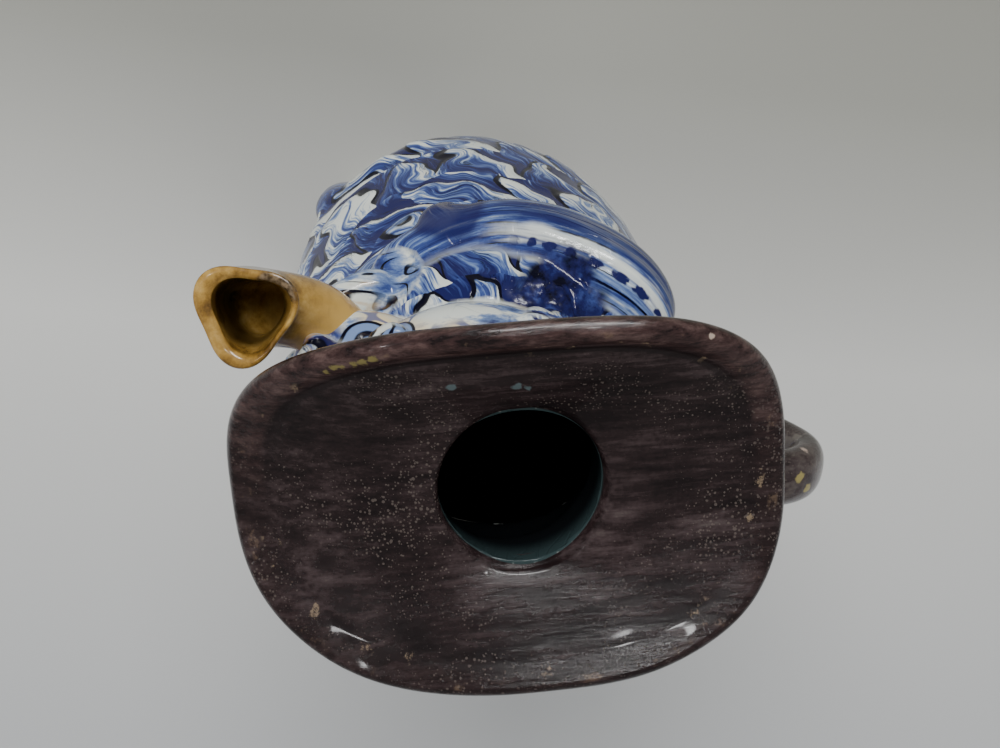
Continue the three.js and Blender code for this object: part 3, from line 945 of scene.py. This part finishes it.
# The hat
# A dished brim, thrown flat, then cocked up at both sides and drooping over the face. Its thick rim is
# rounded with a crease inside it, and manganese brown is brushed along it over the white glaze.
RIM_BEAD = 0.0008
CREASE_DEPTH = 0.0008
CREASE_PLACE = 0.0054
BRIM_START = 0.42
SQUARENESS = 2.9
DARK_BROWN = (0.0075, 0.0045, 0.005, 1)
BROWN = (0.019, 0.0115, 0.012, 1)
PURPLE_BROWN = (0.046, 0.031, 0.032, 1)
DUSTY = (0.105, 0.088, 0.08, 1)
OLIVE = (0.17, 0.14, 0.05, 1)
WORN = (0.42, 0.33, 0.27, 1)
GREY_BLUE = (0.075, 0.10, 0.105, 1)


def hat_point(ring, angles, out=0.0, up=0.0, bead=0.0):
    def along(value):
        return np.sign(value) * np.abs(value) ** (2 / SQUARENESS)
    y = ring * brim_reach(np.sin(angles)) * along(np.sin(angles))
    x = ring * (BRIM_WIDTH / 2) * along(np.cos(angles))
    z = brim_height(x, y) + up * BRIM_THICKNESS + bead
    wobble = 0.0004 * np.sin(5 * angles + 1) + 0.0003 * np.sin(9 * angles)
    z += (wobble - 0.001) * ring ** 3
    reach = out * BRIM_THICKNESS
    return set_askew(np.stack([x + reach * np.cos(angles), y + reach * np.sin(angles), z], -1))


def hole_ring(radius, height, angles):
    return np.stack([radius * np.cos(angles), radius * np.sin(angles), 0 * angles + height], -1)


def drawn_in(hole, part, **form):
    """A ring of the brim, drawn in to the round hole where part is small."""
    return blend(hole, hat_point(blend(BRIM_START, 1, part), angles, **form), min(1, part * 2.2) ** 0.7)


angles = full_turn(300)
bore = MOUTH_BORE / 2 - 0.0001
turned_angles = angles + HAT_TURN
hole_under = hole_ring(bore, FIGURE_HEIGHT - BRIM_THICKNESS, turned_angles)
rings = [hole_under] + [drawn_in(hole_under, part, up=-1) for part in np.linspace(0, 1, 34)[1:]]
for turn in np.linspace(-math.pi / 2, math.pi / 2, 14)[1:-1]:
    rings.append(hat_point(1, angles, out=math.cos(turn) / 2, up=(math.sin(turn) - 1) / 2))
hole_over = hole_ring(bore + 0.0017, FIGURE_HEIGHT - 0.0002, turned_angles)
for part in np.linspace(1, 0, 80):
    from_rim = (1 - blend(BRIM_START, 1, part)) * BRIM_WIDTH / 2
    crease = 0.15 + 0.85 * np.maximum(0, -np.cos(angles)) ** 0.7
    bead = crease * (RIM_BEAD * hump(from_rim - 0.002, 0.0016)
                     - CREASE_DEPTH * hump(from_rim - CREASE_PLACE, 0.0012))
    rings.append(drawn_in(hole_over, part, bead=bead))
for radius, height in ((0.0009, -0.0009), (0.0003, -0.002), (0.0, -0.0035)):
    rings.append(hole_ring(bore + radius, FIGURE_HEIGHT + height, turned_angles))
hat = gathered("hat", [skin("hat", rings, closed_loop=True)])

hat_points = np.array([corner.co for corner in hat.data.vertices])
x = hat_points[:, 0] * math.cos(HAT_TURN) + hat_points[:, 1] * math.sin(HAT_TURN)
y = hat_points[:, 1] * math.cos(HAT_TURN) - hat_points[:, 0] * math.sin(HAT_TURN)
ring_here = (np.abs(x / (BRIM_WIDTH / 2)) ** SQUARENESS
             + np.abs(y / brim_reach(y)) ** SQUARENESS) ** (1 / SQUARENESS)
marked(hat, "from_rim", (1 - ring_here) * BRIM_WIDTH / 2)
marked(hat, "creased", np.clip(-x / (BRIM_WIDTH / 2), 0, 1) ** 0.7)


def manganese(name, lift):
    """Brushed manganese brown over white glaze, burst into fine pale specks; lift lightens it."""
    made, tree, spot, shader = glaze(name)
    brushed_at = node(tree, "ShaderNodeMapping", {"Vector": spot, "Rotation": (0, 0, -HAT_TURN)}).outputs[0]
    brushing = mottle(brushed_at, 340, 7, stretch=(1, 0.13, 1), roughness=0.68)
    clouds = mottle(brushed_at, 42, 5, stretch=(1, 0.5, 1), roughness=0.6)
    grain = mottle(spot, 900, 3)
    tone = plus(times(brushing, 0.55), times(clouds, 0.45), times(grain, 0.12), lift)
    colour = shades(tone, (0.46, DARK_BROWN), (0.56, BROWN), (0.65, PURPLE_BROWN), (0.80, DUSTY))
    gathering = step(mottle(spot, 24, 3), 0.34, 0.70)
    specks = 0
    for scale, largest in ((1100, 0.46), (640, 0.34), (330, 0.19)):
        cells = node(tree, "ShaderNodeTexVoronoi", {"Vector": spot, "Scale": scale})
        chance = node(tree, "ShaderNodeSeparateColor", {0: cells.outputs["Color"]}).outputs[0]
        size = times(times(gathering, largest), chance)
        burst = reckon("LESS_THAN", cells.outputs["Distance"], size)
        specks = reckon("MAXIMUM", specks, burst)
    colour = washed(specks, colour, (0.13, 0.105, 0.092, 1), 0.5)
    relief = plus(times(brushing, 1.5), times(specks, 0.4))
    return made, tree, spot, shader, colour, relief, brushed_at


def wear_and_glint_patches(colour, spots, radius, shade, ragged=0.004):
    """Ragged patches of one colour round these spots: worn places where the brown is lost, and on the dish
    painted reflections.
    """
    for point in spots:
        off = uneven(away_from(point), 260, 4, ragged, roughness=0.7)
        colour = washed(step(off, radius + ragged * 0.5, radius + ragged * 0.35), colour, shade)
    return colour


brown, tree, spot, shader, colour, relief, brushed_at = manganese("manganese_glaze", 0.0)
from_rim = layer_of("from_rim")
rim = step(from_rim, 0.0046, 0.0030)
rim_band = times(rim, plus(layer_of("creased"), 0.12))
rim_tone = mottle(brushed_at, 260, 7, stretch=(1, 0.3, 1), roughness=0.75)
rim_colour = shades(rim_tone, (0.36, DARK_BROWN), (0.50, (0.042, 0.022, 0.021, 1)),
                    (0.66, (0.12, 0.075, 0.068, 1)))
colour = washed(rim_band, colour, rim_colour, 0.85)
rubbed = times(step(mottle(spot, 150, 5, roughness=0.75), 0.60, 0.66), lines(from_rim, 0.0042, 0.0026))
colour = washed(rubbed, colour, (0.27, 0.20, 0.13, 1), 0.6)
# A dark brown line along the crease inside the rim, mostly on the upturned side: painted shade in the
# crease.
crease_shade = times(lines(from_rim, CREASE_PLACE, 0.0013), layer_of("creased"))
colour = washed(crease_shade, colour, DARK_BROWN, 0.85)
worn_edge = step(mottle(spot, 120, 6, roughness=0.72), 0.56, 0.66)
worn_edge = times(lines(from_rim, 0.0006, 0.0012), worn_edge)
colour = washed(worn_edge, colour, (0.18, 0.12, 0.08, 1), 0.4)
chip_line = [(-0.0312 - 0.0011 * k, -0.0540 + 0.0021 * k, 0.2150 + 0.0011 * k) for k in range(6)]
colour = wear_and_glint_patches(colour, chip_line, 0.0013, OLIVE, 0.005)
pale_chips = [(-0.0505, 0.0385, 0.2218), (-0.0414, -0.0042, 0.222), (-0.0412, -0.0015, 0.222)]
colour = wear_and_glint_patches(colour, pale_chips, 0.0012, WORN, 0.003)
# Pale grey-blue streaks on the dish: painted reflections.
reflection_streaks = [(-0.0305, -0.0066, 0.2155), (-0.0300, -0.0035, 0.2152), (-0.0291, -0.0227, 0.2155)]
colour = wear_and_glint_patches(colour, reflection_streaks, 0.0016, GREY_BLUE)
smoothness = minus(0.2, times(rim, 0.09))
fired(shader, colour, spot, relief, smoothness, depth=0.0005, coat=0.25, gleam=0.35)
hat.data.materials.append(brown)
hand_over(hat)

strap_brown, tree, spot, shader, colour, relief, _ = manganese("worn_manganese_glaze", 0.07)
patches = mottle(spot, 95, 4, roughness=0.65)
colour = washed(step(patches, 0.58, 0.66), colour, (0.17, 0.15, 0.13, 1), 0.7)
bend_chips = [(-0.0021, 0.080, 0.1918), (0.002, 0.084, 0.190)]
colour = wear_and_glint_patches(colour, bend_chips, 0.0018, (0.30, 0.25, 0.09, 1))
colour = wear_and_glint_patches(colour, [(-0.0079, 0.0823, 0.1854)], 0.0014, WORN)
fired(shader, colour, spot, relief, 0.2, depth=0.0005)
handle.data.materials.append(strap_brown)
hand_over(handle)


# The studio
# A pale paper floor, a broad soft light at the monkey's right with two weaker ones, and three small
# lights that are seen only as glints in the glaze. The camera looks down on the hat, as in the photo.
floor = set_up("floor", bpy.data.meshes.new("floor"))
floor.data.from_pydata([(-4, -4, 0), (4, -4, 0), (4, 4, 0), (-4, 4, 0)], [], [(0, 1, 2, 3)])
paper, tree, spot, shader = glaze("paper")
# The paper is painted darker towards -x and a little darker towards +x, lightest near the figure: painted
# shade on the floor.
painted_floor_shade = shades(plus(split(spot)[0], 0.5),
               (0.26, (0.19, 0.185, 0.15, 1)), (0.42, (0.34, 0.34, 0.31, 1)),
               (0.53, (0.62, 0.62, 0.60, 1)), (0.72, (0.52, 0.53, 0.54, 1)))
tree.links.new(painted_floor_shade, shader.inputs["Base Color"])
shader.inputs["Roughness"].default_value = 0.9
floor.data.materials.append(paper)

IMAGE_WIDTH = 1000
SENSOR_WIDTH = 36
FOCAL_PIXELS = 1500
CAMERA_TILT = math.radians(21.5)
CAMERA_SIDE = math.radians(14)
CAMERA_ROLL = math.radians(-3.6)
HOLE_DEPTH = 0.389
HOLE_IN_PHOTO = (523 - 500, 490 - 374)

back = Vector((-math.sin(CAMERA_TILT) * math.cos(CAMERA_SIDE),
               -math.sin(CAMERA_TILT) * math.sin(CAMERA_SIDE), math.cos(CAMERA_TILT)))
up = Vector((-1, 0, 0))
up = (up - back * up.dot(back)).normalized()
right = (-back).cross(up)
right, up = (right * math.cos(CAMERA_ROLL) + up * math.sin(CAMERA_ROLL),
             up * math.cos(CAMERA_ROLL) - right * math.sin(CAMERA_ROLL))
hole = Vector((0, 0, FIGURE_HEIGHT))
camera_at = hole - HOLE_DEPTH * (right * HOLE_IN_PHOTO[0] / FOCAL_PIXELS
                                 - up * HOLE_IN_PHOTO[1] / FOCAL_PIXELS - back)
camera = set_up("camera", bpy.data.cameras.new("camera"))
camera.data.sensor_width = SENSOR_WIDTH
camera.data.lens = SENSOR_WIDTH * FOCAL_PIXELS / IMAGE_WIDTH
facing_photo = Matrix((right, up, back)).transposed().to_4x4()
camera.matrix_world = (Matrix.Rotation(HAT_TURN, 4, "Z") @ Matrix.Translation(camera_at) @ facing_photo)
camera.data.clip_start = 0.01
bpy.context.scene.camera = camera

LAMPS_AIM = Vector((0, 0, 0.12))
LAMPS = (
    ("key", (-0.85, -0.25, 0.95), 0.7, 0.7, 15, False),
    ("fill", (0.6, 0.7, 0.9), 0.9, 0.9, 7, False),
    ("front", (0.2, -1.0, 0.7), 0.7, 0.7, 5, False),
    ("window", (-0.61, 0.105, 1.01), 0.055, 0.055, 0.55, True),
    ("lamp", (-0.342, -0.60, 0.945), 0.045, 0.045, 0.35, True),
    ("strip", (-1.0, 0.08, 0.62), 0.6, 0.09, 9, True),
)
for name, at, size, height, power, only_glint in LAMPS:
    lamp = bpy.data.lights.new(name, "AREA")
    lamp.shape = "RECTANGLE"
    lamp.size = size
    lamp.size_y = height
    lamp.energy = power
    made = set_up(name, lamp)
    made.location = at
    made.rotation_euler = (LAMPS_AIM - Vector(at)).to_track_quat("-Z", "Y").to_euler()
    made.visible_glossy = only_glint
    made.visible_diffuse = not only_glint
world = bpy.data.worlds.new("studio")
bpy.context.scene.world = world
world.use_nodes = True
room = world.node_tree.nodes["Background"].inputs
room["Color"].default_value = (0.8, 0.82, 0.8, 1)
room["Strength"].default_value = 0.22
